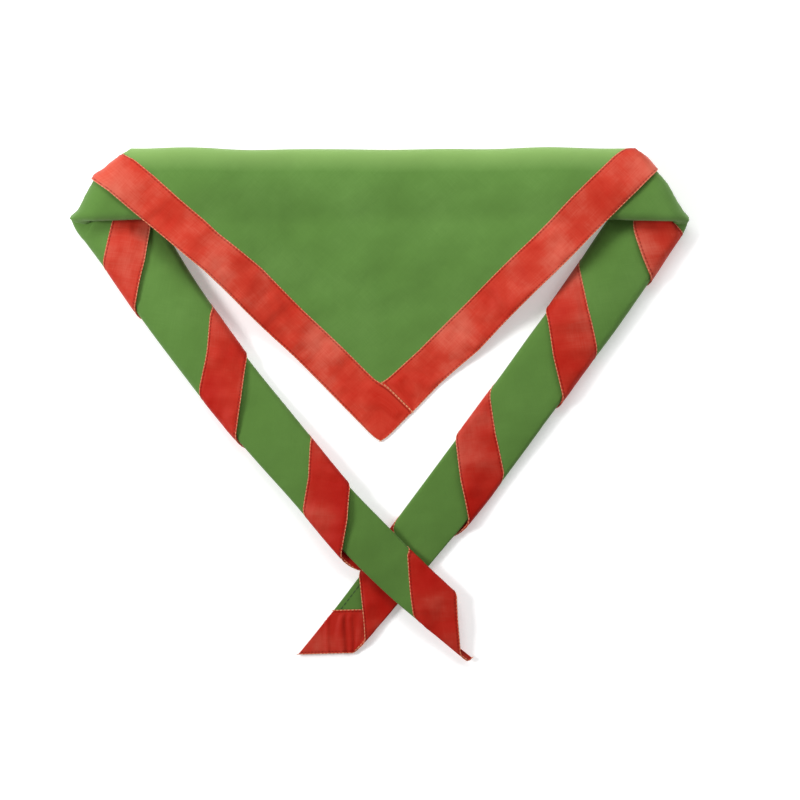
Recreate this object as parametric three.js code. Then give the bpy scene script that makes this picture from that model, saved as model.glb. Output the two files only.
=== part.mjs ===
// Neckerchief lying flat: one triangle of green cotton with a red border sewn along its two short sides.
// The long edge is wound up into a flat band, and a flap of the triangle is left hanging over it.
// Both ends of the band fold back behind themselves along diagonals and come down as two tapering arms,
// which cross, left over right. The border is cut at 45 degrees to the band, so it runs round the arms
// as a spiral stripe. Every cloth piece here is a wall of one thickness that follows that same winding.
// Millimetres, +X to the right in the flat lay, +Y to the top fold, +Z up from the table.

import * as THREE from 'three';

// Cloth and winding
const CLOTH = 1.0;            // wall thickness of the cloth
const LAYER_GAP = 0.25;       // air between two wound layers
const SEAM_GAP = 0.3;         // clearance between pieces that are sewn or cut edge to edge
const HALF_TURNS = 8;         // bends in the wound band, one at every half turn
const CORE_RADIUS = 0.65;     // middle radius of the innermost bend
const CORE_TAIL = 0.6;        // share of a half turn that the long edge runs on past the last bend
const ROLL_WIDTH = 38.5;      // the band from its top fold to its lower edge
const BORDER_WIDTH = 22.8;    // the red border, square to its own edge

// Outline
const FLAP_LENGTH = 162;      // top fold to the flap's point
const LEFT_REACH = 160.6;     // centre line to the left corner's fold, at the middle of the band
const RIGHT_REACH = 163.6;    // the same on the right
const FOLD_ANGLE = 62;        // the corner folds' slant, in degrees from the band
const FOLD_GAP = 0.6;         // air inside the corner folds
const LEFT_BAND = 500;        // centre line to the left tip, measured along the band
const RIGHT_BAND = 497;       // the same on the right

// How it lies
const SAG_START = 118;        // distance from the centre line where the band leaves the arms under it
const FLAP_REST = 0.3;        // the flap's point over the table
const ARM_SETTLE = 3.9;       // how far a tip's middle lies lower than the corner's
const CROSSING_LIFT = 5.2;    // how far the left arm climbs over the right one

const PITCH = CLOTH + LAYER_GAP;
const OUTER_RADIUS = CORE_RADIUS + (HALF_TURNS - 1) * PITCH / 2;
const THICKNESS = 2 * OUTER_RADIUS + CLOTH;
const BEND_SPAN = ROLL_WIDTH - CLOTH - 2 * OUTER_RADIUS + PITCH / 2;
const FOLD_RADIUS = THICKNESS / 2 + FOLD_GAP;
const BAND_MIDDLE = PITCH / 4;
const BORDER_RUN = BORDER_WIDTH * Math.SQRT2;
const EDGE_GAP = SEAM_GAP * Math.SQRT2;
const ROLL_HEIGHT = THICKNESS + 2 * FOLD_GAP;

// A bend takes this share of its half turn, in equal facets; the flat takes the rest.
const BEND_SHARE = 0.3;
const BEND_FACETS = 3;
const FOLD_FACETS = 5;

// The border's free edge along the wound band. turn counts half turns inwards from the top fold,
// left and right are shares of LEFT_BAND and RIGHT_BAND.
const FREE_EDGE = [
  { turn: -0.15, left: 0.342, right: 0.322 },
  { turn: 0.0, left: 0.366, right: 0.342 },
  { turn: 0.15, left: 0.388, right: 0.358 },
  { turn: 1, left: 0.462, right: 0.429 },
  { turn: 2, left: 0.567, right: 0.517 },
  { turn: 3, left: 0.642, right: 0.602 },
  { turn: 4, left: 0.752, right: 0.694 },
  { turn: 5, left: 0.816, right: 0.776 },
  { turn: 6, left: 0.922, right: 0.874 },
  { turn: 7, left: 0.986, right: 0.948 },
  { turn: 8, left: 1.000, right: 1.000 },
];

// The flap's free edges, from the top fold down. depth, left and right are shares of FLAP_LENGTH.
const FLAP_EDGE = [
  { depth: 0.108, left: 0.979, right: 0.911 },
  { depth: 0.176, left: 0.894, right: 0.843 },
  { depth: 0.238, left: 0.819, right: 0.784 },
  { depth: 0.330, left: 0.706, right: 0.692 },
  { depth: 0.415, left: 0.603, right: 0.607 },
  { depth: 0.552, left: 0.463, right: 0.467 },
  { depth: 0.689, left: 0.316, right: 0.327 },
];

// The arms, from the corner to the tip. at is a share of the band's length; turns are degrees away
// from the folded direction; widths are shares of the band's own; lift is a share of CROSSING_LIFT.
const ARM_PATH = [
  { at: 0.380, leftTurn: 0, rightTurn: 0, leftWidth: 1.000, rightWidth: 1.000, lift: 0 },
  { at: 0.440, leftTurn: -2.5, rightTurn: -0.2, leftWidth: 0.980, rightWidth: 1.015, lift: 0 },
  { at: 0.505, leftTurn: 1.0, rightTurn: 2.1, leftWidth: 0.960, rightWidth: 1.010, lift: 0 },
  { at: 0.570, leftTurn: 3.9, rightTurn: 2.3, leftWidth: 0.955, rightWidth: 1.000, lift: 0 },
  { at: 0.635, leftTurn: 5.3, rightTurn: 1.8, leftWidth: 0.945, rightWidth: 1.010, lift: 0.15 },
  { at: 0.700, leftTurn: 6.5, rightTurn: 3.2, leftWidth: 0.915, rightWidth: 1.020, lift: 0.6 },
  { at: 0.765, leftTurn: 8.4, rightTurn: 3.4, leftWidth: 0.875, rightWidth: 0.995, lift: 1 },
  { at: 0.830, leftTurn: 11.1, rightTurn: 3.0, leftWidth: 0.850, rightWidth: 0.935, lift: 1 },
  { at: 0.910, leftTurn: 13.8, rightTurn: 4.6, leftWidth: 0.825, rightWidth: 0.865, lift: 0.9 },
  { at: 1.000, leftTurn: 17.2, rightTurn: 6.7, leftWidth: 0.795, rightWidth: 0.810, lift: 0.1 },
];

// Shares of SAG_START where the sagging band and flap are creased into facets.
const SAG_STATIONS = [0, 0.24, 0.39, 0.54, 0.69, 0.84, 1];
const SAG_FLAT = SAG_STATIONS[1];

const toRadians = THREE.MathUtils.degToRad;
const lerp = THREE.MathUtils.lerp;

function smooth(share) {
  return THREE.MathUtils.smoothstep(share, 0, 1);
}

function lookUp(table, key, column, at) {
  const last = table.length - 2;
  let i = table.findIndex((row, index) => index > last || table[index + 1][key] >= at);
  i = Math.min(i, last);
  const share = (at - table[i][key]) / (table[i + 1][key] - table[i][key]);
  return lerp(table[i][column], table[i + 1][column], share);
}

// One row of the cloth's middle surface across the band: a point (b, z) of the wound section, its
// outward direction, and how far the cloth reaches to either side there.
function bendRow(turn) {
  const bend = Math.round(turn);
  const angle = (turn - bend) / BEND_SHARE * Math.PI;
  const radius = OUTER_RADIUS - bend * PITCH / 2;
  const side = bend % 2 === 0 ? 1 : -1;
  const centreZ = side > 0 ? 0 : -PITCH / 2;
  return {
    turn,
    b: side * (BEND_SPAN / 2 + radius * Math.cos(angle)),
    z: centreZ - side * radius * Math.sin(angle),
    outB: side * Math.cos(angle),
    outZ: -side * Math.sin(angle),
    left: lookUp(FREE_EDGE, 'turn', 'left', turn) * LEFT_BAND,
    right: lookUp(FREE_EDGE, 'turn', 'right', turn) * RIGHT_BAND,
  };
}

// A row on the straight stretch after a bend, at a share of the way to the next one.
function flatRow(bend, share) {
  const from = bendRow(bend + BEND_SHARE / 2);
  const to = bendRow(bend + 1 - BEND_SHARE / 2);
  return {
    turn: lerp(from.turn, to.turn, share),
    b: lerp(from.b, to.b, share),
    z: from.z,
    outB: 0,
    outZ: from.outZ,
    left: lerp(from.left, to.left, share),
    right: lerp(from.right, to.right, share),
  };
}

function flapRow(depth, left, right) {
  const topFold = BEND_SPAN / 2 + OUTER_RADIUS + CLOTH / 2;
  return { turn: -depth, b: topFold - depth, z: OUTER_RADIUS, outB: 0, outZ: 1, left, right };
}

function makeRows() {
  const rows = [
    flapRow(FLAP_LENGTH, 0, 0),
    flapRow(FLAP_LENGTH - BORDER_RUN / 2, BORDER_RUN / 2, BORDER_RUN / 2),
    flapRow(FLAP_LENGTH - BORDER_RUN, BORDER_RUN, BORDER_RUN),
  ];
  for (const edge of [...FLAP_EDGE].reverse()) {
    rows.push(flapRow(edge.depth * FLAP_LENGTH, edge.left * FLAP_LENGTH, edge.right * FLAP_LENGTH));
  }
  for (let bend = 0; bend < HALF_TURNS; bend++) {
    for (let facet = 0; facet <= BEND_FACETS; facet++) {
      rows.push(bendRow(bend + BEND_SHARE * (facet / BEND_FACETS - 0.5)));
    }
    if (bend === 0) {
      rows.push(flatRow(0, SEAM_GAP / BEND_SPAN));
    }
  }
  const tail = bendRow(HALF_TURNS - 1 + BEND_SHARE / 2);
  const tailRow = { ...tail, turn: HALF_TURNS - 1 + CORE_TAIL, b: tail.b + BEND_SPAN * CORE_TAIL };
  tailRow.left = lookUp(FREE_EDGE, 'turn', 'left', tailRow.turn) * LEFT_BAND;
  tailRow.right = lookUp(FREE_EDGE, 'turn', 'right', tailRow.turn) * RIGHT_BAND;
  rows.push(tailRow);
  return rows;
}

// The corner fold of one side: a half turn round a slanting line, with the flap's face outermost.
function makeFold(reach) {
  const slant = toRadians(FOLD_ANGLE);
  const across = { x: Math.sin(slant), b: Math.cos(slant) };
  return { across, foot: reach - (THICKNESS + FOLD_GAP) / across.x };
}

function foldStation(fold, along) {
  return (b) => fold.foot + (along - (b - BAND_MIDDLE) * fold.across.b) / fold.across.x;
}

function foldedPoint(fold, at, b) {
  const along = (at - fold.foot) * fold.across.x + (b - BAND_MIDDLE) * fold.across.b;
  const travel = 2 * along - Math.PI * FOLD_RADIUS;
  return { x: at - travel * fold.across.x, y: b - travel * fold.across.b };
}

// Stations run from the centre line to a tip. at(b) is the distance along the band, and place(b, z)
// gives the point in space of the section's point (b, z).
function makeStations(side, reach, band) {
  const fold = makeFold(reach);
  const stations = SAG_STATIONS.map((share) => {
    const x = share * SAG_START;
    const sag = ROLL_HEIGHT * smooth((1 - share) / (1 - SAG_FLAT));
    return { part: 'roll', at: () => x, place: (b, z) => [x, b, ROLL_HEIGHT + THICKNESS / 2 + z - sag] };
  });
  const turnRun = Math.PI * FOLD_RADIUS;
  const foldRuns = [0, SEAM_GAP];
  for (let facet = 1; facet <= FOLD_FACETS; facet++) {
    foldRuns.push(turnRun * facet / FOLD_FACETS);
  }
  for (const along of foldRuns) {
    const angle = along / FOLD_RADIUS;
    const at = foldStation(fold, along);
    const place = (b, z) => {
      const radius = z + THICKNESS / 2 + FOLD_GAP;
      const out = radius * Math.sin(angle) - along;
      const height = THICKNESS + FOLD_GAP + radius * Math.cos(angle);
      return [at(b) + out * fold.across.x, b + out * fold.across.b, height];
    };
    stations.push({ part: along === 0 ? 'roll' : 'arm', at, place });
  }
  const start = foldedPoint(fold, ARM_PATH[0].at * band, 0);
  const axis = { x: start.x, y: start.y };
  ARM_PATH.forEach((row, index) => {
    const turn = side < 0 ? row.leftTurn : row.rightTurn;
    const width = side < 0 ? row.leftWidth : row.rightWidth;
    const heading = toRadians(2 * FOLD_ANGLE + turn);
    if (index > 0) {
      const before = ARM_PATH[index - 1];
      const step = (row.at - before.at) * band;
      const middle = heading - toRadians(turn - (side < 0 ? before.leftTurn : before.rightTurn)) / 2;
      axis.x += step * Math.cos(middle);
      axis.y -= step * Math.sin(middle);
    }
    const centre = { x: axis.x, y: axis.y };
    const settle = ARM_SETTLE * (row.at - ARM_PATH[0].at) / (1 - ARM_PATH[0].at);
    const lift = side < 0 ? row.lift * CROSSING_LIFT : 0;
    const place = (b, z) => [
      centre.x - b * width * Math.sin(heading),
      centre.y - b * width * Math.cos(heading),
      THICKNESS / 2 - z - settle + lift,
    ];
    stations.push({ part: 'arm', at: () => row.at * band, place });
  });
  return stations.map((station) => ({
    part: station.part,
    side,
    at: (b) => side * station.at(b),
    place: (b, z) => {
      const [x, y, height] = station.place(b, z);
      return [side * x, y, height];
    },
  }));
}

const rows = makeRows();
const leftStations = makeStations(-1, LEFT_REACH, LEFT_BAND);
const rightStations = makeStations(1, RIGHT_REACH, RIGHT_BAND);
const stations = [...leftStations.slice(1).reverse(), ...rightStations];

// How far the flap drops from the band's top to the table, beyond the band's own sag.
function flapFall(row, x) {
  const below = (-row.turn - ROLL_WIDTH) / (FLAP_LENGTH - ROLL_WIDTH);
  if (row.turn > 0 || below <= 0) {
    return 0;
  }
  const clearOfArms = smooth((SAG_START - Math.abs(x)) / (SAG_START / 2));
  return (THICKNESS - CLOTH - FLAP_REST) * smooth(below * 1.25) * clearOfArms;
}

// A corner of the grid of rows and stations, on the outer (+1) or inner (-1) face of the cloth.
function gridPoint(station, row, face) {
  const offset = face * CLOTH / 2;
  const point = station.place(row.b + offset * row.outB, row.z + offset * row.outZ);
  point[2] -= flapFall(row, point[0]);
  return point;
}

// Keeps the part of a polygon where keep(point) is not negative.
function clip(polygon, keep) {
  const kept = [];
  polygon.forEach((point, index) => {
    const next = polygon[(index + 1) % polygon.length];
    const here = keep(point);
    const there = keep(next);
    if (here >= 0) {
      kept.push(point);
    }
    if (here * there < 0) {
      const share = here / (here - there);
      kept.push({ at: lerp(point.at, next.at, share), up: lerp(point.up, next.up, share) });
    }
  });
  return kept;
}

// An edge that all but meets a station is moved onto it, which avoids slivers.
const SNAP = 0.2;

function snapToStations(at, b) {
  for (const station of stations) {
    if (Math.abs(station.at(b) - at) < SNAP) {
      return station.at(b);
    }
  }
  return at;
}

// Each cell of the grid between two stations and two rows is two flat facets. Every piece uses the
// same facets, so wound layers and sewn edges never cut into each other.
function cellFacets(row, from, to) {
  const [near, far] = from.side < 0 || to.side < 0 ? [to, from] : [from, to];
  const corner = (station, up) => ({
    at: station.at(rows[row + up].b),
    up,
    faces: [1, -1].map((face) => gridPoint(station, rows[row + up], face)),
  });
  const [nearLow, farLow, farHigh, nearHigh] = [
    corner(near, 0), corner(far, 0), corner(far, 1), corner(near, 1),
  ];
  const facets = [[nearLow, farLow, farHigh], [nearLow, farHigh, nearHigh]];
  return near === from ? facets : facets.map((facet) => facet.reverse());
}

// The point of a facet at a distance along the band and a share of the way up to the next row.
function pointOnFacet([a, b, c], at, up) {
  const area = (b.at - a.at) * (c.up - a.up) - (c.at - a.at) * (b.up - a.up);
  const shareB = ((at - a.at) * (c.up - a.up) - (c.at - a.at) * (up - a.up)) / area;
  const shareC = ((b.at - a.at) * (up - a.up) - (at - a.at) * (b.up - a.up)) / area;
  return [0, 1].map((face) => [0, 1, 2].map((axis) => (
    a.faces[face][axis]
      + shareB * (b.faces[face][axis] - a.faces[face][axis])
      + shareC * (c.faces[face][axis] - a.faces[face][axis])
  )));
}

// One closed piece of cloth: the rows from first to last, between the edges that low and high give
// for each row, over the stations that use() accepts on both sides of a cell.
function clothPiece({ first, last, low, high, use }) {
  const points = [];
  const known = new Map();
  const triangles = [];
  const addPoint = (facet, row, at, up) => {
    const key = `${Math.round(at * 1e3)}/${Math.round((row + up) * 1e6)}`;
    if (!known.has(key)) {
      known.set(key, points.length);
      points.push({ faces: pointOnFacet(facet, at, up), row: row + up, reach: Math.abs(at) });
    }
    return known.get(key);
  };
  for (let row = first; row < last; row++) {
    const pair = [rows[row], rows[row + 1]];
    const lows = pair.map((each) => snapToStations(low(each), each.b));
    const highs = pair.map((each) => snapToStations(high(each), each.b));
    for (let index = 0; index + 1 < stations.length; index++) {
      if (!use(stations[index], stations[index + 1])) {
        continue;
      }
      for (const facet of cellFacets(row, stations[index], stations[index + 1])) {
        let polygon = clip(facet, (point) => point.at - lerp(lows[0], lows[1], point.up));
        polygon = clip(polygon, (point) => lerp(highs[0], highs[1], point.up) - point.at);
        const corners = polygon.map((point) => addPoint(facet, row, point.at, point.up));
        const ring = corners.filter((corner, i) => corner !== corners[(i + 1) % corners.length]);
        for (let i = 1; i + 1 < ring.length; i++) {
          triangles.push([ring[0], ring[i], ring[i + 1]]);
        }
      }
    }
  }
  return closeCloth(points, triangles);
}

// Joins the two faces of a piece of cloth with a wall all round its edge. The wall's facets slant the
// same way on both sides of a seam, so that two pieces' twisted edges stay clear of each other.
function closeCloth(points, triangles) {
  const open = new Map();
  for (const triangle of triangles) {
    for (let i = 0; i < 3; i++) {
      const [from, to] = [triangle[i], triangle[(i + 1) % 3]];
      if (!open.delete(`${to}/${from}`)) {
        open.set(`${from}/${to}`, [from, to]);
      }
    }
  }
  const count = points.length;
  const index = [];
  for (const [a, b, c] of triangles) {
    index.push(a, b, c, a + count, c + count, b + count);
  }
  for (const [from, to] of open.values()) {
    const [a, b] = [points[from], points[to]];
    const sameRow = Math.abs(a.row - b.row) < 1e-6;
    if (sameRow ? a.reach < b.reach : a.row < b.row) {
      index.push(from, from + count, to + count, from, to + count, to);
    } else {
      index.push(from, from + count, to, from + count, to + count, to);
    }
  }
  const positions = [0, 1].flatMap((face) => points.flatMap((point) => point.faces[face]));
  const geometry = new THREE.BufferGeometry();
  geometry.setAttribute('position', new THREE.Float32BufferAttribute(positions, 3));
  geometry.setIndex(index);
  if (signedVolume(positions, index) < 0) {
    index.reverse();
    geometry.setIndex(index);
  }
  geometry.computeVertexNormals();
  return geometry;
}

function signedVolume(positions, index) {
  const corner = (i) => new THREE.Vector3(...positions.slice(3 * index[i], 3 * index[i] + 3));
  let total = 0;
  for (let i = 0; i < index.length; i += 3) {
    total += corner(i).dot(corner(i + 1).cross(corner(i + 2))) / 6;
  }
  return total;
}

// Edges of the three cuts of cloth, in distance from the centre line, left negative. The border's
// two strips meet at the flap's point, where the left one lies across the right one's end.
const freeLeft = (row) => -row.left;
const freeRight = (row) => row.right;
const sewnLeft = (row) => BORDER_RUN - row.left;
const sewnRight = (row) => row.right - BORDER_RUN;
const seamRows = [flapRow(FLAP_LENGTH - BORDER_RUN / 2).turn, flapRow(FLAP_LENGTH - BORDER_RUN).turn];

function leftStripEnd(row) {
  if (row.turn < seamRows[0]) {
    return row.right;
  }
  return row.turn < seamRows[1] ? BORDER_RUN / 2 : sewnLeft(row);
}

const everywhere = () => true;
const onRoll = (from, to) => from.part === 'roll' && to.part === 'roll';
const onArm = (side) => (from, to) => from.part === 'arm' && to.part === 'arm' && from.side === side;
const topFoldEnd = rows.findIndex((row) => row.turn > 0 && row.turn >= BEND_SHARE / 2 - 1e-9);
const wound = { first: topFoldEnd + 1, last: rows.length - 1 };
const hanging = { first: 0, last: topFoldEnd };
const greenEdges = {
  low: (row) => sewnLeft(row) + EDGE_GAP / 2,
  high: (row) => sewnRight(row) - EDGE_GAP / 2,
};

const greenCotton = { color: 0x5a873c, roughness: 0.85, metalness: 0 };
const redCotton = { color: 0xc8321e, roughness: 0.7, metalness: 0 };

const pieces = {
  flap_panel: [greenCotton, { ...hanging, first: 2, ...greenEdges, use: everywhere }],
  neck_roll: [greenCotton, { ...wound, ...greenEdges, use: onRoll }],
  arm_left: [greenCotton, { ...wound, ...greenEdges, use: onArm(-1) }],
  arm_right: [greenCotton, { ...wound, ...greenEdges, use: onArm(1) }],
  flap_border_left: [redCotton, {
    ...hanging,
    low: freeLeft,
    high: (row) => leftStripEnd(row) - EDGE_GAP / 2,
    use: everywhere,
  }],
  flap_border_right: [redCotton, {
    ...hanging,
    first: 1,
    low: (row) => Math.max(leftStripEnd(row), sewnRight(row)) + EDGE_GAP / 2,
    high: freeRight,
    use: everywhere,
  }],
  arm_border_left: [redCotton, {
    ...wound,
    low: freeLeft,
    high: (row) => sewnLeft(row) - EDGE_GAP / 2,
    use: everywhere,
  }],
  arm_border_right: [redCotton, {
    ...wound,
    low: (row) => sewnRight(row) + EDGE_GAP / 2,
    high: freeRight,
    use: everywhere,
  }],
};

const group = new THREE.Group();
for (const [name, [finish, shape]] of Object.entries(pieces)) {
  const mesh = new THREE.Mesh(clothPiece(shape), new THREE.MeshStandardMaterial(finish));
  mesh.name = name;
  group.add(mesh);
}

// The origin is the middle of the whole outline, on the table.
const box = new THREE.Box3().setFromObject(group);
const middle = box.getCenter(new THREE.Vector3());
for (const mesh of group.children) {
  mesh.position.set(-middle.x, -middle.y, -box.min.z);
}

export default group;
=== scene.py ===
import bpy
import numpy as np
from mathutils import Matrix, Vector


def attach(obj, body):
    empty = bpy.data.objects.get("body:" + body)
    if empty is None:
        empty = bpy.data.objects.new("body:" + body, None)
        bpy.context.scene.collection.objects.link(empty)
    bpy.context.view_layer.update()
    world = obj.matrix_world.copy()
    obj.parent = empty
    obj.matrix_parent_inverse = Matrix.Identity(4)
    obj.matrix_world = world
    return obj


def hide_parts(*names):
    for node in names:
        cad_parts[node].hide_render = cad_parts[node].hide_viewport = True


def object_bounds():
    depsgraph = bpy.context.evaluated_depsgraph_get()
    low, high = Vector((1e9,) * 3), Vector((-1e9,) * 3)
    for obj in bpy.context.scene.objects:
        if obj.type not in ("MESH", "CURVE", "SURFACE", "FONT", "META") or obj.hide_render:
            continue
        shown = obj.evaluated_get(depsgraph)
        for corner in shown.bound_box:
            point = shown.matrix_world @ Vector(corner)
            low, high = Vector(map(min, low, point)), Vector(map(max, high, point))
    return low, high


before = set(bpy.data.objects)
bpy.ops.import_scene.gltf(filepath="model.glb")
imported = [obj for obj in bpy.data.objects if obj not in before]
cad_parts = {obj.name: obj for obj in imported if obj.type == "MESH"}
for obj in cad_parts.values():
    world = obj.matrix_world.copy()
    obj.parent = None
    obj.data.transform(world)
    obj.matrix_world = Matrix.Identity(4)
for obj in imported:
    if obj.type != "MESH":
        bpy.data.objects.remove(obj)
cad_box = [list(corner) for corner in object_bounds()]

# The winding. The cloth's place on the band is at, the distance along it from the centre line with the left
# side negative, and turn, the number of half turns inwards from the top fold. The flap hangs before turn 0.
CLOTH = 1.0
ROLL_WIDTH = 38.5
PITCH = 1.25
HALF_TURNS = 8
CORE_RADIUS = 0.65
OUTER_RADIUS = CORE_RADIUS + (HALF_TURNS - 1) * PITCH / 2
THICKNESS = 2 * OUTER_RADIUS + CLOTH
BEND_SPAN = ROLL_WIDTH - CLOTH - 2 * OUTER_RADIUS + PITCH / 2
BEND_SHARE = 0.3
FLAP_LENGTH = 162.0
TOP_FOLD = BEND_SPAN / 2 + OUTER_RADIUS + CLOTH / 2
BORDER_WIDTH = 22.8
BORDER_RUN = BORDER_WIDTH * np.sqrt(2)
BANDS = {-1: 500.0, 1: 497.0}
REACHES = {-1: 160.6, 1: 163.6}
CENTRE = np.array([-1.5, 122.578, 0.0])

# The border's free edge, as shares of each band's length at a number of half turns.
EDGE_TURNS = [-0.15, 0.0, 0.15, 0.4, 0.7, 1, 2, 3, 4, 5, 6, 7, 8]
FREE_EDGES = {
    -1: [0.342, 0.366, 0.388, 0.410, 0.438, 0.466, 0.567, 0.642, 0.752, 0.816, 0.922, 0.986, 1.000],
    1: [0.322, 0.342, 0.358, 0.390, 0.412, 0.431, 0.517, 0.597, 0.689, 0.772, 0.873, 0.948, 1.007],
}
# The flap's free edges, from the top fold down, as shares of its length.
FLAP_DEPTHS = [0.108, 0.176, 0.238, 0.330, 0.415, 0.552, 0.689]
FLAP_EDGES = {
    -1: [0.979, 0.894, 0.819, 0.706, 0.603, 0.463, 0.316],
    1: [0.911, 0.843, 0.784, 0.692, 0.607, 0.467, 0.327],
}
# How far the long edge runs past the last bend, and how far a loose bend stands out at its free edge.
TAIL_TURNS = {-1: 7.22, 1: 7.84}
LOOSE_BENDS = {-1: {1: -0.5, 3: -0.3, 5: 3.0}, 1: {1: -0.5, 3: -0.3, 5: 0.6}}
LOOSE_RUN = 60.0
# How far the outer side of the band spreads past its even width, by distance from the centre line.
SPREAD_AT = [100, 140, 165, 180, 200, 240, 300, 360, 410, 460]
SPREADS = {
    -1: [0, 1.5, 3.0, 4.2, 3.2, 2.2, 1.6, 1.0, 0.6, 0],
    1: [0, 2.0, 2.4, 2.4, 2.3, 2.2, 2.4, 2.2, 0.8, 0],
}


def smooth(share):
    share = np.clip(share, 0.0, 1.0)
    return share * share * (3 - 2 * share)


def free_edge(side, turn):
    """Distance of the border's free edge from the centre line. Turns below the top fold are depths."""
    depths = np.array([*FLAP_DEPTHS, 1 - BORDER_RUN / FLAP_LENGTH, 1.0]) * FLAP_LENGTH
    edges = np.array([*FLAP_EDGES[side], BORDER_RUN / FLAP_LENGTH, 0.0]) * FLAP_LENGTH
    wound = np.interp(turn, EDGE_TURNS, np.array(FREE_EDGES[side]) * BANDS[side])
    start = FREE_EDGES[side][0] * BANDS[side]
    hanging = np.interp(-turn, [OUTER_RADIUS + CLOTH / 2, *depths], [start, *edges])
    return np.where(turn < -BEND_SHARE / 2 - 1e-6, hanging, wound)


# How much wider than its even width each strip lies, along the band, by turn.
WIDER_AT = {
    -1: [
        -61, -47, -40, -28, -16.6, -8, -4.6, 0, 1.9, 2.15, 2.6,
        3, 3.9, 4.15, 4.5, 5, 5.9, 6.2, 6.5, 6.85, 7.2,
    ],
    1: [-0.15, 0.15, 0.4, 0.7, 1.0, 1.3],
}
WIDER = {
    -1: [0, 0.5, 2.0, 2.2, 3.8, 2.4, 1.0, 0, 0, 2.6, 0, 0, 0, 2.6, 0, 0, 0, 6.2, 4.2, 2.0, 0],
    1: [0, 0, 5.5, 3.7, 1.2, 0],
}


def section(turn):
    """The band's cross-section: b across the band and z through it, for a number of half turns."""
    bend = np.maximum(np.round(turn), 0)
    share = turn - bend
    radius = OUTER_RADIUS - bend * PITCH / 2
    side = np.where(bend % 2 == 0, 1.0, -1.0)
    angle = np.clip(share / BEND_SHARE, -0.5, 0.5) * np.pi
    flat = np.clip((np.abs(share) - BEND_SHARE / 2) / (1 - BEND_SHARE), 0, 1)
    b = side * (BEND_SPAN / 2 + radius * np.cos(angle) - BEND_SPAN * flat)
    z = np.where(side > 0, 0.0, -PITCH / 2) - side * radius * np.sin(angle)
    hanging = turn < -BEND_SHARE / 2 - 1e-6
    return np.where(hanging, TOP_FOLD + turn, b), np.where(hanging, OUTER_RADIUS, z)


# The two arms, from each corner to its tip: turns in degrees away from the folded direction, widths as
# shares of the band's, and how high the left one climbs over the right one.
FOLD_GAP = 0.6
FOLD_RADIUS = THICKNESS / 2 + FOLD_GAP
FOLD_SLANT = np.radians(62)
ROLL_HEIGHT = THICKNESS + 2 * FOLD_GAP
SAG_START = 118.0
ARM_SETTLE = 3.9
ARM_AT = [0.38, 0.44, 0.505, 0.57, 0.635, 0.70, 0.765, 0.83, 0.91, 1.0]
ARM_TURNS = {
    -1: [0, -2.5, 1, 3.9, 5.3, 6.5, 8.4, 11.1, 13.8, 17.2],
    1: [0, -0.2, 2.1, 2.3, 1.8, 3.2, 3.4, 3, 4.6, 6.7],
}
ARM_WIDTHS = {
    -1: [1, 0.98, 0.96, 0.955, 0.945, 0.915, 0.875, 0.85, 0.825, 0.795],
    1: [1, 1.015, 1.01, 1, 1.01, 1.02, 0.995, 0.935, 0.865, 0.81],
}
CROSSING_LIFT = 5.2
CROSSING = np.array([0, 0, 0, 0, 0.15, 0.6, 1, 1, 0.9, 0.1]) * CROSSING_LIFT


def make_arm(side):
    """Tables along one arm, every millimetre: heading, width, lift and the axis it follows."""
    start = ARM_AT[0] * BANDS[side]
    at = np.arange(start, BANDS[side] + 30)
    window = np.hanning(25) / np.hanning(25).sum()

    def along(values):
        line = np.interp(at, np.array(ARM_AT) * BANDS[side], values)
        return np.convolve(np.pad(line, 12, mode="edge"), window, mode="valid")

    heading = 2 * FOLD_SLANT + np.radians(along(ARM_TURNS[side]))
    foot = REACHES[side] - (THICKNESS + FOLD_GAP) / np.sin(FOLD_SLANT)
    run = (start - foot) * np.sin(FOLD_SLANT) - PITCH / 4 * np.cos(FOLD_SLANT)
    travel = 2 * run - np.pi * FOLD_RADIUS
    steps_x = np.concatenate([[0], (np.cos(heading[1:]) + np.cos(heading[:-1])) / 2])
    steps_y = np.concatenate([[0], (np.sin(heading[1:]) + np.sin(heading[:-1])) / 2])
    return {
        "at": at,
        "heading": heading,
        "width": along(ARM_WIDTHS[side]),
        "lift": along(CROSSING) if side < 0 else 0 * at,
        "x": start - travel * np.sin(FOLD_SLANT) + np.cumsum(steps_x),
        "y": -travel * np.cos(FOLD_SLANT) - np.cumsum(steps_y),
        "foot": foot,
    }


ARMS = {side: make_arm(side) for side in (-1, 1)}
# How far the flattened corner stands out past a round fold, from the band's lower edge to its top one.
PUSH_AT = [-21.4, -20.5, -18.5, -16, -11, 0, 8, 12, 19]
CORNER_PUSH = {
    -1: [6.6, 3.6, 1.2, 0.6, 0.8, -1.5, -5.5, -6.8, -8.0],
    1: [4.6, 1.0, -1.8, -2.4, -2.8, -4.6, -7.2, -7.8, -8.4],
}
# How deep the hollow behind the corner is, how much fuller the roll's middle is, and the share of its
# height that an arm loses where the roll lies on it.
HOLLOW = 3.2
FULLNESS = 3.6
PRESSED = 0.3


def crowned(at, b, z):
    """The flattened roll is a little fuller in its middle, on the side that faces up."""
    arm = smooth((np.abs(at) - 150) / 30)
    up = np.clip(np.where(arm > 0.5, -z, z) / OUTER_RADIUS, 0, 1)
    middle = np.clip(1 - (b / 23) ** 2, 0, 1) ** 2
    return z + np.where(arm > 0.5, -1, 1) * up * middle * FULLNESS * np.abs(2 * arm - 1)


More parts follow.
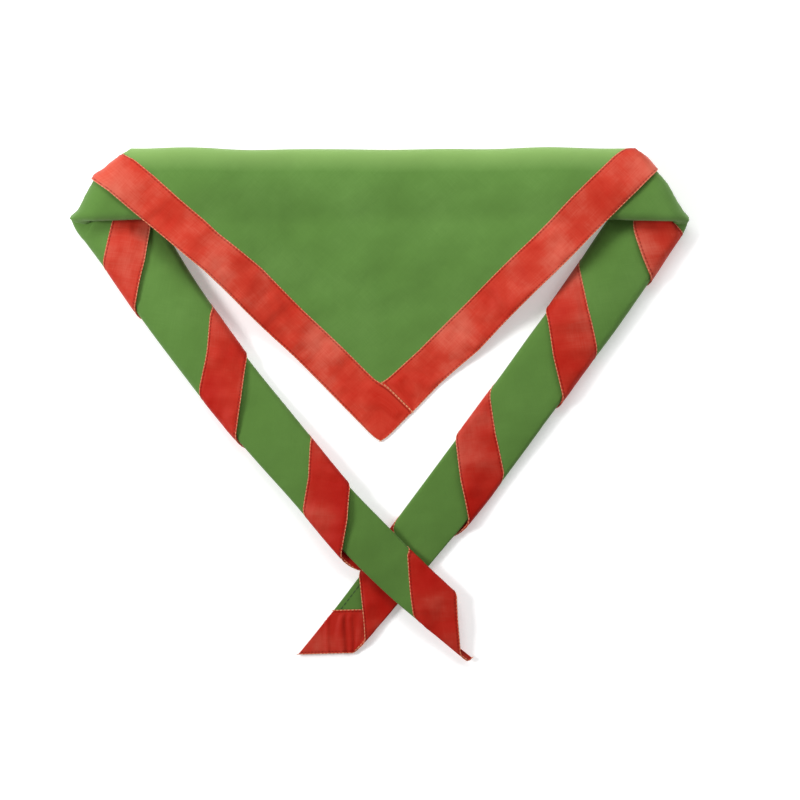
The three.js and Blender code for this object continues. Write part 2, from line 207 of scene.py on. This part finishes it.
def lay_side(side, at, b, z):
    """Where a point of the winding lies once its end of the band is folded back and brought down."""
    arm = ARMS[side]
    n_x, n_b = np.sin(FOLD_SLANT), np.cos(FOLD_SLANT)
    along = (at - arm["foot"]) * n_x + (b - PITCH / 4) * n_b
    radius = z + THICKNESS / 2 + FOLD_GAP
    corner = np.interp(b, PUSH_AT, CORNER_PUSH[side]) * (0.35 + 0.65 * radius / ROLL_HEIGHT)
    sag = ROLL_HEIGHT * smooth((1 - at / SAG_START) / 0.76)
    angle = np.clip(along / FOLD_RADIUS, 0, np.pi)
    out = np.where(along > 0, (radius + corner) * np.sin(angle) - along, 0)
    hollow = HOLLOW * np.exp(-(((angle - 2.05) / 0.42) ** 2)) * np.clip((-b - 11) / 7, 0, 1) * (along > 0)
    travel = 2 * along - np.pi * FOLD_RADIUS
    beyond = along > np.pi * FOLD_RADIUS
    out = np.where(beyond, -travel, out)
    x, y = at + out * n_x, b + out * n_b + hollow
    height = THICKNESS + FOLD_GAP + radius * np.cos(angle)
    height = np.where(along > 0, height, ROLL_HEIGHT + THICKNESS / 2 + z - sag)
    on_arm = beyond & (at > arm["at"][0])
    heading, width, axis_x, axis_y, lift = (
        np.interp(at, arm["at"], arm[name]) for name in ("heading", "width", "x", "y", "lift")
    )
    settle = ARM_SETTLE * np.clip((at - arm["at"][0]) / (BANDS[side] - arm["at"][0]), 0, 1.05)
    x = np.where(on_arm, axis_x - b * width * np.sin(heading), x)
    y = np.where(on_arm, axis_y - b * width * np.cos(heading), y)
    height = np.where(on_arm, THICKNESS / 2 - z - settle + lift, height)
    under = smooth((along - np.pi * FOLD_RADIUS) / 10) * (1 - smooth((-BEND_SPAN * 0.62 - y) / 16))
    height = np.where(beyond, height * (1 - PRESSED * under), height)
    return np.stack([side * x, y, height], axis=-1)


def waves(x, y, length, seed):
    """A soft random field of about unit height, whose bumps are length apart."""
    random = np.random.default_rng(seed)
    total = 0.0
    for _ in range(14):
        angle, phase, stretch = random.uniform(0, 2 * np.pi, 2).tolist() + [random.uniform(0.7, 1.6)]
        reach = 2 * np.pi / (length * stretch)
        total = total + np.sin(reach * (x * np.cos(angle) + y * np.sin(angle)) + phase)
    return total / np.sqrt(14)


def lay_cloth(at, turn):
    """The cloth's middle surface in the object's frame, for grids of distances and turns."""
    b, z = section(turn)
    for side in (-1, 1):
        for bend, loose in LOOSE_BENDS[side].items():
            edge = free_edge(side, np.array(float(bend)))
            near = smooth((side * at - edge + LOOSE_RUN) / LOOSE_RUN) * (np.abs(turn - bend) < 0.5)
            b = b - loose * near * np.clip(-b / (BEND_SPAN / 2), 0, 1)
        spread = np.interp(side * at, SPREAD_AT, SPREADS[side]) * (turn > -BEND_SHARE / 2)
        b = b - spread * np.clip(-b / (BEND_SPAN / 2), 0, 1) * (side * at > 0)
    z = crowned(at, b, z)
    points = np.where(at[..., None] < 0, lay_side(-1, -at, b, z), lay_side(1, at, b, z))
    below = np.clip((-turn - 38.5) / (FLAP_LENGTH - 38.5), 0, 1)
    clear = smooth((SAG_START - np.abs(points[..., 0])) / (SAG_START / 2))
    fall = (THICKNESS - 1.3) * smooth(1.25 * below) * clear
    points[..., 2] -= np.where(turn < 0, fall, 0)
    points[..., 0] += np.where(turn < 0, 1.7 * np.tanh(points[..., 0] / 2) * smooth((below - 0.3) / 0.6), 0)
    return points


def settle(points):
    """The soft unevenness of cloth at rest, the same for all the layers at one place."""
    x, y, height = np.moveaxis(points, -1, 0)
    up = smooth(height / 6)
    moved = points + CENTRE
    moved[..., 0] += 0.35 * waves(x, y, 55, 3) * up
    moved[..., 1] += 0.35 * waves(x, y, 55, 4) * up
    moved[..., 2] += (0.45 * waves(x, y, 70, 5) + 0.24 * waves(x, y, 21, 6)) * up
    return moved


def outward(points):
    """Unit normals of a grid of points, on the side that faces out of the winding."""
    normal = np.cross(np.gradient(points, axis=1), np.gradient(points, axis=0))
    return normal / np.maximum(np.linalg.norm(normal, axis=-1, keepdims=True), 1e-9)


def cloth_mesh(name, points, half, uv):
    """A closed sheet round a grid of middle points, with half its thickness at each."""
    rows, columns = points.shape[:2]
    away = outward(points) * half[..., None]
    count = rows * columns
    corner = np.arange(count).reshape(rows, columns)
    cells = np.stack([corner[:-1, :-1], corner[:-1, 1:], corner[1:, 1:], corner[1:, :-1]], axis=-1)
    front = cells.reshape(-1, 4)
    back = front[:, ::-1] + count
    rim = np.concatenate([corner[0], corner[1:, -1], corner[-1, -2::-1], corner[-2:0:-1, 0]])
    after = np.roll(rim, -1)
    wall = np.stack([rim, rim + count, after + count, after], axis=-1)
    faces = np.concatenate([front, back, wall])
    mesh = bpy.data.meshes.new(name)
    vertices = np.concatenate([(points + away).reshape(-1, 3), (points - away).reshape(-1, 3)]) * 0.001
    mesh.vertices.add(len(vertices))
    mesh.vertices.foreach_set("co", vertices.astype(np.float32).ravel())
    mesh.loops.add(faces.size)
    mesh.loops.foreach_set("vertex_index", faces.astype(np.int32).ravel())
    mesh.polygons.add(len(faces))
    mesh.polygons.foreach_set("loop_start", np.arange(0, faces.size, 4, dtype=np.int32))
    mesh.polygons.foreach_set("use_smooth", np.ones(len(faces), dtype=bool))
    mesh.update(calc_edges=True)
    layer = mesh.uv_layers.new(name="cut")
    flat = np.tile(uv.reshape(-1, 2) * 0.001, (2, 1))[faces.ravel()]
    layer.data.foreach_set("uv", flat.astype(np.float32).ravel())
    mesh.validate()
    piece = bpy.data.objects.new(name, mesh)
    bpy.context.scene.collection.objects.link(piece)
    return piece


# The green triangle: one cut of plain woven cotton. It runs from the flap's point over the top fold and
# round the winding to its hemmed long edge, and is tucked under the border along its short sides.
GREEN_HALF = 0.28
HEM_HALF = 0.42
TUCKED_HALF = 0.08
TUCK = 2.6
HEM_WIDTH = 3.4
CORNER_FOLD = 157.5
COLUMNS = 261


def winding_turns(bend_steps, flat_steps, last=HALF_TURNS - 1):
    """Numbers of half turns from the flap's top edge to the last bend, closer together in the bends."""
    turns = [-BEND_SHARE / 2]
    for bend in range(last + 1):
        turns += [bend + BEND_SHARE * (step / bend_steps - 0.5) for step in range(1, bend_steps + 1)]
        if bend < last:
            turns += [
                bend + BEND_SHARE / 2 + (1 - BEND_SHARE) * step / flat_steps
                for step in range(1, flat_steps + 1)
            ]
    return np.array(turns)


def make_rows(first_depth, flap_steps, bend_steps, flat_steps, tail_steps):
    """Turns of each row on the left and on the right. They differ only past the last bend."""
    flap = -np.linspace(first_depth, OUTER_RADIUS + CLOTH / 2, flap_steps)[:-1]
    wound = winding_turns(bend_steps, flat_steps)
    tail = np.arange(1, tail_steps + 1) / tail_steps
    start = HALF_TURNS - 1 + BEND_SHARE / 2
    return {
        side: np.concatenate([flap, wound, start + tail * (TAIL_TURNS[side] - start)])
        for side in (-1, 1)
    }


def turns_at(rows, at):
    """The rows' turns at each distance along the band, going from the left's to the right's."""
    share = smooth(at / 500 + 0.5)
    return rows[-1][:, None] * (1 - share) + rows[1][:, None] * share


def cloth_down(rows):
    """Distance down the cut from the flap's point to each row, for the weave."""
    b, z = section(rows[1])
    step = np.hypot(np.diff(b), np.diff(z))
    return np.concatenate([[0], np.cumsum(step)])


def crowded(low, high, middles, columns):
    """Distances along the band, closer together round the corner folds."""
    grid = np.linspace(0, 1, 1500)
    out = []
    for start, end, middle in zip(low, high, middles):
        at = start + (end - start) * grid
        density = 1.0 + 2.2 * np.exp(-(((np.abs(at) - middle) / 15) ** 2))
        filled = np.concatenate([[0], np.cumsum((density[1:] + density[:-1]) / 2)])
        out.append(np.interp(np.linspace(0, filled[-1], columns), filled, at))
    return np.array(out)


green_rows = make_rows(FLAP_LENGTH - BORDER_RUN + TUCK / 2, 62, 8, 8, 26)
green_low = BORDER_RUN - TUCK - free_edge(-1, green_rows[-1])
green_high = free_edge(1, green_rows[1]) - BORDER_RUN + TUCK
row_b = section(green_rows[1])[0]
corner_middles = CORNER_FOLD - (row_b - PITCH / 4) / np.tan(FOLD_SLANT)
green_at = crowded(green_low, green_high, corner_middles, COLUMNS)
green_points = settle(lay_cloth(green_at, turns_at(green_rows, green_at)))
green_depth = cloth_down(green_rows)
green_half = np.full(green_at.shape, GREEN_HALF)
green_half[green_depth > green_depth[-1] - HEM_WIDTH] = HEM_HALF
tucked = np.minimum(green_at - green_low[:, None], green_high[:, None] - green_at) / TUCK
thinned = np.minimum(green_half, TUCKED_HALF + (GREEN_HALF - TUCKED_HALF) * smooth(tucked))
green_half = np.where(tucked < 1, thinned, green_half)
green_uv = np.stack([green_at, np.broadcast_to(green_depth[:, None], green_at.shape)], axis=-1)
green_cloth = cloth_mesh("green_cloth", green_points, green_half, green_uv)


class Amount:
    """A shader socket that adds Math nodes when it is used in an expression."""

    def __init__(self, finish, socket):
        self.finish, self.socket = finish, socket

    def maths(self, operation, *others):
        return self.finish.node("ShaderNodeMath", {"operation": operation}, dict(enumerate((self, *others))))

    def __add__(self, other):
        return self.maths("ADD", other)

    def __sub__(self, other):
        return self.maths("SUBTRACT", other)

    def __rsub__(self, other):
        return self.finish.node("ShaderNodeMath", {"operation": "SUBTRACT"}, {0: other, 1: self})

    def __mul__(self, other):
        return self.maths("MULTIPLY", other)

    __radd__, __rmul__ = __add__, __mul__


class Finish:
    """A material made of nodes."""

    def __init__(self, name):
        self.material = bpy.data.materials.new(name)
        self.material.use_nodes = True
        self.tree = self.material.node_tree
        self.tree.nodes.clear()

    def node(self, kind, settings, sockets, output=0):
        made = self.tree.nodes.new(kind)
        for key, value in settings.items():
            setattr(made, key, value)
        for key, value in sockets.items():
            if isinstance(value, Amount):
                self.tree.links.new(value.socket, made.inputs[key])
            else:
                made.inputs[key].default_value = value
        return Amount(self, made.outputs[output])

    def ramp(self, amount, stops):
        made = self.tree.nodes.new("ShaderNodeValToRGB")
        elements = made.color_ramp.elements
        while len(elements) < len(stops):
            elements.new(0.5)
        for element, (position, colour) in zip(elements, stops):
            element.position, element.color = position, (*colour, 1.0)
        self.tree.links.new(amount.socket, made.inputs["Fac"])
        return Amount(self, made.outputs["Color"])

    def mix(self, share, first, second):
        return self.node("ShaderNodeMix", {"data_type": "RGBA"}, {0: share, 6: first, 7: second}, 2)

    def close(self, sockets):
        shader = self.node("ShaderNodeBsdfPrincipled", {}, sockets)
        surface = self.tree.nodes.new("ShaderNodeOutputMaterial").inputs["Surface"]
        self.tree.links.new(shader.socket, surface)
        return self.material


def weave(finish, turn, yarn):
    """Plain weave on the cut's own coordinates, turned by an angle: its height and its uneven yarns."""
    place = finish.node("ShaderNodeUVMap", {"uv_map": "cut"}, {})
    turned = finish.node("ShaderNodeMapping", {}, {"Vector": place, "Rotation": (0, 0, turn)})
    split = finish.node("ShaderNodeSeparateXYZ", {}, {"Vector": turned})
    across, along = split, Amount(finish, split.socket.node.outputs[1])
    warp = (across * (np.pi / yarn)).maths("SINE")
    weft = (along * (np.pi / yarn)).maths("SINE")
    height = (warp * weft).maths("ABSOLUTE")
    slubs = []
    for stretch in ((90, 1500, 1), (1500, 90, 1)):
        drawn = finish.node("ShaderNodeMapping", {}, {"Vector": turned, "Scale": stretch})
        slubs.append(finish.node("ShaderNodeTexNoise", {}, {"Vector": drawn, "Scale": 1.0, "Detail": 3.0}))
    return turned, height, (slubs[0] + slubs[1]) * 0.5


green = Finish("green_cotton")
green_place, green_weave, green_slubs = weave(green, np.pi / 4, 0.00045)
cloud = green.node("ShaderNodeTexNoise", {}, {"Vector": green_place, "Scale": 28.0, "Detail": 4.0})
tone = green.ramp(
    green_slubs * 0.4 + cloud * 0.6,
    [(0.3, (0.078, 0.180, 0.026)), (0.5, (0.093, 0.208, 0.035)), (0.7, (0.118, 0.248, 0.050))],
)
tone = green.mix((1 - green_weave) * 0.18, tone, (0.055, 0.135, 0.02, 1.0))
cut = green.node("ShaderNodeUVMap", {"uv_map": "cut"}, {})
cut_place = green.node("ShaderNodeSeparateXYZ", {}, {"Vector": cut})
# A band each side of the top fold's line is painted pale green: a painted highlight where the fold is lit.
fold_line = FLAP_LENGTH - BORDER_RUN + TUCK / 2
painted_fold_highlight = ((Amount(green, cut_place.socket.node.outputs[1]) - fold_line * 0.001) * 75).maths("ABSOLUTE")
painted_fold_highlight = (1 - painted_fold_highlight).maths("MAXIMUM", 0.0)
tone = green.mix(painted_fold_highlight * 0.95, tone, (0.230, 0.390, 0.108, 1.0))
# Painted shade: the green is a little darker towards the ends, at the tips.
painted_tip_shade = (cut_place.maths("ABSOLUTE") - 0.19) * 5
painted_tip_shade = painted_tip_shade.maths("MAXIMUM", 0.0).maths("MINIMUM", 1.0)
tone = green.mix(painted_tip_shade * 0.7, tone, (0.064, 0.146, 0.020, 1.0))
fuzz = green.node("ShaderNodeTexNoise", {}, {"Vector": green_place, "Scale": 2600.0, "Detail": 2.0})
threads = green_weave * 0.7 + green_slubs + fuzz * 0.3
grain = green.node(
    "ShaderNodeBump", {}, {"Height": threads, "Strength": 0.5, "Distance": 0.00018}
)
dents = green.node("ShaderNodeTexNoise", {}, {"Vector": green_place, "Scale": 42.0, "Detail": 2.0})
green_dents = green.node(
    "ShaderNodeBump", {}, {"Height": dents, "Strength": 0.5, "Distance": 0.0030, "Normal": grain}
)
green_cloth.data.materials.append(green.close({
    "Base Color": tone,
    "Roughness": 0.74 + green_slubs * 0.2,
    "Normal": green_dents,
    "Sheen Weight": 0.25,
    "Sheen Roughness": 0.45,
    "Sheen Tint": (0.75, 0.95, 0.6, 1.0),
    "Specular IOR Level": 0.3,
}))
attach(green_cloth, "root")
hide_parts("flap_panel", "neck_roll", "arm_left", "arm_right")

# The red border: two strips of close cotton, folded over the triangle's short sides and topstitched along
# both edges. Each runs from the flap's point round the winding to a tip. The left one crosses the point.
RED_HALF = 0.5
EDGE_RISE = 1.1
STITCH_PITCH = 0.0021
STITCH_LENGTH = 0.0023
# The gathers at the right tip: their depth, their spacing, and where they start across the tip.
GATHER_DEPTH = 1.15
GATHER_PITCH = 6.4
GATHERS_FROM = -36
EDGE_COLUMNS = np.array([0, 0.01, 0.022, 0.036, 0.052, 0.068, 0.084])
ACROSS = np.concatenate([EDGE_COLUMNS, np.linspace(0.11, 0.89, 25), 1 - EDGE_COLUMNS[::-1]])


def strip_edges(side, rows):
    """The sewn and the free edge of a strip, in distance from the centre line."""
    free = side * free_edge(side, rows[side])
    sewn = free - side * (BORDER_RUN + np.interp(rows[side], WIDER_AT[side], WIDER[side]))
    depth = -rows[side]
    other = free_edge(-side, rows[-side])
    if side < 0:
        seam = np.where(depth > FLAP_LENGTH - BORDER_RUN / 2, other, np.minimum(sewn, BORDER_RUN / 2))
        return np.where(depth > FLAP_LENGTH - BORDER_RUN, seam, sewn), free
    left_end = BORDER_RUN - other
    return np.where(depth > FLAP_LENGTH - BORDER_RUN, np.maximum(left_end, sewn), sewn), free


def make_strip(name, side):
    first = FLAP_LENGTH - (0.1 if side < 0 else BORDER_RUN / 2 + 0.1)
    rows = make_rows(first, 150, 8, 12, 44)
    sewn, free = strip_edges(side, rows)
    low, high = (free, sewn) if side < 0 else (sewn, free)
    share = ACROSS[None, :]
    at = low[:, None] + (high - low)[:, None] * share
    turn = np.broadcast_to(rows[side][:, None], at.shape)
    points = lay_cloth(at, turn)
    from_free = (share if side < 0 else 1 - share) * np.abs(high - low)[:, None] / np.sqrt(2)
    from_sewn = (1 - share if side < 0 else share) * np.abs(high - low)[:, None] / np.sqrt(2)
    down = cloth_down(rows)
    length = (np.abs(at) + down[:, None]) / np.sqrt(2)
    way = outward(points)
    shown = np.clip(way[..., 2], 0, 1)
    on_arm = smooth((np.abs(at) - 188) / 25) * (turn > 0.5)
    rise = EDGE_RISE * smooth(1 - from_free / 11) * (0.65 + 0.35 * waves(length, 0 * length, 34, 11 + side))
    points = points + way * (rise * shown * on_arm)[..., None]
    uneven_length = length + 1.6 * waves(length, from_free * 0.3, 12, 2)
    pleats = GATHER_DEPTH * np.sin(2 * np.pi * uneven_length / GATHER_PITCH)
    pleats = np.minimum(pleats * (0.6 + 0.4 * waves(length, 0 * length, 26, 8)), 0.2)
    drawn_in = 0.2 * waves(length, from_free, 11, 21 + side) + 0.5 * waves(length, from_free, 27, 31)
    drawn_in = np.maximum(drawn_in, -0.12)
    visible = np.where(turn < 0.5, 1.0, on_arm * shown) * smooth(from_free / 3) * smooth((from_sewn - 2) / 4)
    points = points + way * (drawn_in * visible)[..., None]
    at_tip = smooth((turn - 7.1) / 0.12) * (side > 0) * smooth((from_sewn - 1.5) / 3)
    gathered = smooth((points[..., 0] + CENTRE[0] - GATHERS_FROM) / 8) * way[..., 2] ** 2
    points = points + way * (pleats * at_tip * gathered)[..., None]
    points = settle(points)
    edge = np.minimum(from_free, from_sewn)
    half = RED_HALF * np.sqrt(np.clip(edge / 0.55, 0.45, 1))
    half = half - 0.13 * np.exp(-(((edge - 1.25) / 0.4) ** 2)) + 0.06 * smooth((edge - 2) / 4)
    even = (1 - share if side < 0 else share) * BORDER_WIDTH
    uv = np.stack([length, even + 0 * at], axis=-1)
    return cloth_mesh(name, points, half, uv), points, half


red = Finish("red_cotton")
red_place, red_weave, red_slubs = weave(red, 0.0, 0.00036)
# The red's tone varies at random from deep red to pale pink patches; the pale pink patches are painted sheen.
red_cloud = red.node("ShaderNodeTexNoise", {}, {"Vector": red_place, "Scale": 26.0, "Detail": 5.0})
red_tone = red.ramp(
    red_slubs * 0.18 + red_cloud * 0.82,
    [(0.34, (0.44, 0.012, 0.004)), (0.48, (0.52, 0.044, 0.023)), (0.62, (0.61, 0.125, 0.080))],
)
red_tone = red.mix((1 - red_weave) * 0.10, red_tone, (0.30, 0.008, 0.003, 1.0))
red_split = red.node("ShaderNodeSeparateXYZ", {}, {"Vector": red_place})
across_strip = Amount(red, red_split.socket.node.outputs[1])
from_edge = (across_strip.maths("MINIMUM", BORDER_WIDTH * 0.001 - across_strip)).maths("ABSOLUTE")
# The dark line 1.1 mm in from each edge is painted shade in the stitch groove, dotted at the stitch pitch
# like the stitch holes.
painted_groove_shade = ((from_edge - 0.0011) * 2000).maths("ABSOLUTE").maths("MINIMUM", 1.0)
holes = (red_split * (2 * np.pi / STITCH_PITCH)).maths("SINE") * 0.35 + 0.65
# Painted shade: the strips are a little darker towards the tips too, unevenly.
painted_red_tip_shade = ((red_split - 0.20) * 3.2).maths("MAXIMUM", 0.0).maths("MINIMUM", 1.0)
red_tone = red.mix(painted_red_tip_shade * (1.35 - red_cloud * 1.3), red_tone, (0.33, 0.005, 0.002, 1.0))
red_tone = red.mix((1 - painted_groove_shade) * holes * 0.8, red_tone, (0.10, 0.004, 0.001, 1.0))
drawn = red.node("ShaderNodeMapping", {}, {"Vector": red_place, "Scale": (75.0, 24.0, 1.0)})
pulls = red.node("ShaderNodeTexNoise", {}, {"Vector": drawn, "Scale": 1.0, "Detail": 1.0})
red_grain = red.node(
    "ShaderNodeBump", {}, {"Height": red_weave * 0.5 + red_slubs * 0.5, "Strength": 0.35, "Distance": 0.00015}
)
red_folds = red.node(
    "ShaderNodeBump", {}, {"Height": pulls, "Strength": 0.8, "Distance": 0.0030, "Normal": red_grain}
)
red_cotton = red.close({
    "Base Color": red_tone,
    "Roughness": 0.40 + red_slubs * 0.2,
    "Normal": red_folds,
    "Sheen Weight": 0.03,
    "Sheen Roughness": 0.35,
    "Sheen Tint": (1.0, 0.60, 0.50, 1.0),
    "Specular IOR Level": 0.08,
})
strips = {}
for side, name in ((-1, "border_left"), (1, "border_right")):
    strip, strip_points, strip_half = make_strip(name, side)
    strip.data.materials.append(red_cotton)
    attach(strip, "root")
    suffix = name.split("_")[1]
    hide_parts("flap_border_" + suffix, "arm_border_" + suffix)
    strips[side] = (strip, strip_points, strip_half)


# Topstitching: a light tan thread along both edges of each strip, on both faces, and a green one along the
# hem of the long edge. Each stitch is a short bead of thread pulled down into the cloth.
def stitch_tree():
    tree = bpy.data.node_groups.new("stitches", "GeometryNodeTree")
    face = tree.interface
    face.new_socket("Seam", in_out="INPUT", socket_type="NodeSocketGeometry")
    for name, value in (("Pitch", 0.0026), ("Length", 0.0023), ("Thread", 0.0005)):
        face.new_socket(name, in_out="INPUT", socket_type="NodeSocketFloat").default_value = value
    face.new_socket("Finish", in_out="INPUT", socket_type="NodeSocketMaterial")
    face.new_socket("Stitches", in_out="OUTPUT", socket_type="NodeSocketGeometry")

    def node(kind, settings=(), **sockets):
        made = tree.nodes.new(kind)
        for key, value in dict(settings).items():
            setattr(made, key, value)
        for key, value in sockets.items():
            key = key.replace("_", " ")
            if isinstance(value, bpy.types.NodeSocket):
                tree.links.new(value, made.inputs[key])
            else:
                made.inputs[key].default_value = value
        return made

    given = node("NodeGroupInput").outputs
    line = node("GeometryNodeMeshToCurve", Mesh=given["Seam"]).outputs[0]
    spots = node("GeometryNodeResampleCurve", {"mode": "LENGTH"}, Curve=line, Length=given["Pitch"])
    away = node("GeometryNodeInputNamedAttribute", {"data_type": "FLOAT_VECTOR"}, Name="away").outputs[0]
    tangent = node("GeometryNodeInputTangent").outputs[0]
    turned = node("FunctionNodeAxesToRotation", {"primary_axis": "Z", "secondary_axis": "X"})
    tree.links.new(away, turned.inputs[0])
    tree.links.new(tangent, turned.inputs[1])
    bead = node("GeometryNodeMeshUVSphere", Segments=6, Rings=4, Radius=0.5).outputs[0]
    uneven = node("FunctionNodeRandomValue", {"data_type": "FLOAT"}, Seed=7)
    uneven.inputs[2].default_value, uneven.inputs[3].default_value = 0.85, 1.1
    drawn = node("ShaderNodeMath", {"operation": "MULTIPLY"})
    tree.links.new(uneven.outputs[1], drawn.inputs[0])
    tree.links.new(given["Length"], drawn.inputs[1])
    size = node("ShaderNodeCombineXYZ", X=drawn.outputs[0], Y=given["Thread"], Z=given["Thread"])
    beads = node(
        "GeometryNodeInstanceOnPoints",
        Points=spots.outputs[0], Instance=bead, Rotation=turned.outputs[0], Scale=size.outputs[0],
    )
    real = node("GeometryNodeRealizeInstances", Geometry=beads.outputs[0])
    shown = node("GeometryNodeSetMaterial", Geometry=real.outputs[0], Material=given["Finish"])
    tree.links.new(shown.outputs[0], node("NodeGroupOutput").inputs[0])
    return tree


def sew(name, seams, finish, settings):
    """Stitches along seams, each a row of points and the directions away from the cloth there."""
    mesh = bpy.data.meshes.new(name + "_seam")
    points = np.concatenate([line for line, _ in seams]) * 0.001
    starts = np.cumsum([0] + [len(line) for line, _ in seams])
    edges = [(i, i + 1) for low, high in zip(starts[:-1], starts[1:]) for i in range(low, high - 1)]
    mesh.from_pydata(points.tolist(), edges, [])
    away = mesh.attributes.new("away", "FLOAT_VECTOR", "POINT")
    away.data.foreach_set("vector", np.concatenate([way for _, way in seams]).astype(np.float32).ravel())
    seam = bpy.data.objects.new(name + "_seam", mesh)
    bpy.context.scene.collection.objects.link(seam)
    modifier = seam.modifiers.new("stitches", "NODES")
    modifier.node_group = STITCHES
    identifiers = {item.name: item.identifier for item in STITCHES.interface.items_tree}
    modifier[identifiers["Finish"]] = finish
    for key, value in settings.items():
        modifier[identifiers[key]] = value
    seen = seam.evaluated_get(bpy.context.evaluated_depsgraph_get())
    sewn = bpy.data.objects.new(name, bpy.data.meshes.new_from_object(seen))
    bpy.context.scene.collection.objects.link(sewn)
    bpy.data.objects.remove(seam)
    sewn.data.polygons.foreach_set("use_smooth", np.ones(len(sewn.data.polygons), dtype=bool))
    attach(sewn, "root")
    return sewn


STITCHES = stitch_tree()
thread = Finish("tan_thread")
thread_place = thread.node("ShaderNodeTexCoord", {}, {}, 3)
thread_noise = thread.node("ShaderNodeTexNoise", {}, {"Vector": thread_place, "Scale": 900.0, "Detail": 2.0})
thread_tone = thread.ramp(thread_noise, [(0.35, (0.50, 0.17, 0.07)), (0.65, (0.72, 0.30, 0.15))])
tan_thread = thread.close({"Base Color": thread_tone, "Roughness": 0.6, "Sheen Weight": 0.2})
hem_thread = Finish("green_thread")
green_thread = hem_thread.close({"Base Color": (0.018, 0.045, 0.010, 1.0), "Roughness": 0.7})

for side, name in ((-1, "left"), (1, "right")):
    points, half = strips[side][1:]
    way = outward(points)
    seams = []
    for column in (1, len(ACROSS) - 2):
        for face in (1, -1):
            lift = (half[:, column] + 0.02)[:, None] * face
            seams.append((points[:, column] + way[:, column] * lift, way[:, column] * face))
    settings = {"Pitch": STITCH_PITCH, "Length": STITCH_LENGTH}
    sew("topstitch_" + name, seams, tan_thread, settings)
hem_row = int(np.searchsorted(green_depth, green_depth[-1] - HEM_WIDTH))
hem_way = outward(green_points)[hem_row]
open_cloth = tucked[hem_row] > 1
hem_seams = [
    ((green_points[hem_row] + hem_way * face * HEM_HALF)[open_cloth], (hem_way * face)[open_cloth])
    for face in (1, -1)
]
hem_stitch = sew("hem_stitch", hem_seams, green_thread, {"Pitch": 0.0028, "Length": 0.0028})

# The table: a plain pale floor under the cloth. It glows a little, because the photo's is overexposed.
bpy.ops.mesh.primitive_plane_add(size=6)
floor = bpy.context.object
floor.name = "floor"
floor.location.z = cad_box[0][2] - 0.0003
paper = Finish("pale_floor")
floor.data.materials.append(paper.close({
    "Base Color": (0.9, 0.9, 0.9, 1.0),
    "Roughness": 0.9,
    "Emission Color": (1.0, 1.0, 1.0, 1.0),
    "Emission Strength": 0.26,
}))

# Studio light: a soft lamp from the left, a weak one from the right, a broad one from behind the top
# fold, and an even white surround.
for name, place, size, energy in (
    ("left_lamp", (-0.9, 0.12, 0.76), (0.34, 0.34), 10.2),
    ("right_lamp", (0.8, 0.35, 0.75), (0.5, 0.5), 2.2),
    ("back_lamp", (0.0, 0.66, 0.62), (0.7, 0.4), 4.7),
):
    lamp = bpy.data.objects.new(name, bpy.data.lights.new(name, "AREA"))
    lamp.data.shape, lamp.data.energy = "RECTANGLE", energy
    lamp.data.size, lamp.data.size_y = size
    lamp.location = place
    lamp.rotation_mode = "QUATERNION"
    lamp.rotation_quaternion = (-lamp.location).to_track_quat("-Z", "Y")
    bpy.context.scene.collection.objects.link(lamp)
surround = bpy.data.worlds.new("surround")
surround.use_nodes = True
surround.node_tree.nodes["Background"].inputs["Color"].default_value = (1.0, 1.0, 1.0, 1.0)
surround.node_tree.nodes["Background"].inputs["Strength"].default_value = 0.29
bpy.context.scene.world = surround
bpy.context.scene.view_settings.view_transform = "Standard"

# The camera looks straight down from far above, with the top fold at the top of the picture.
CAMERA_HEIGHT = 2.6
PICTURE_WIDTH = 0.443
camera = bpy.data.objects.new("camera", bpy.data.cameras.new("camera"))
camera.data.sensor_width = 36.0
camera.data.lens = 36.0 * (CAMERA_HEIGHT - 0.010) / PICTURE_WIDTH
camera.location = (0.0093, 0.00281, CAMERA_HEIGHT)
bpy.context.scene.collection.objects.link(camera)
bpy.context.scene.camera = camera
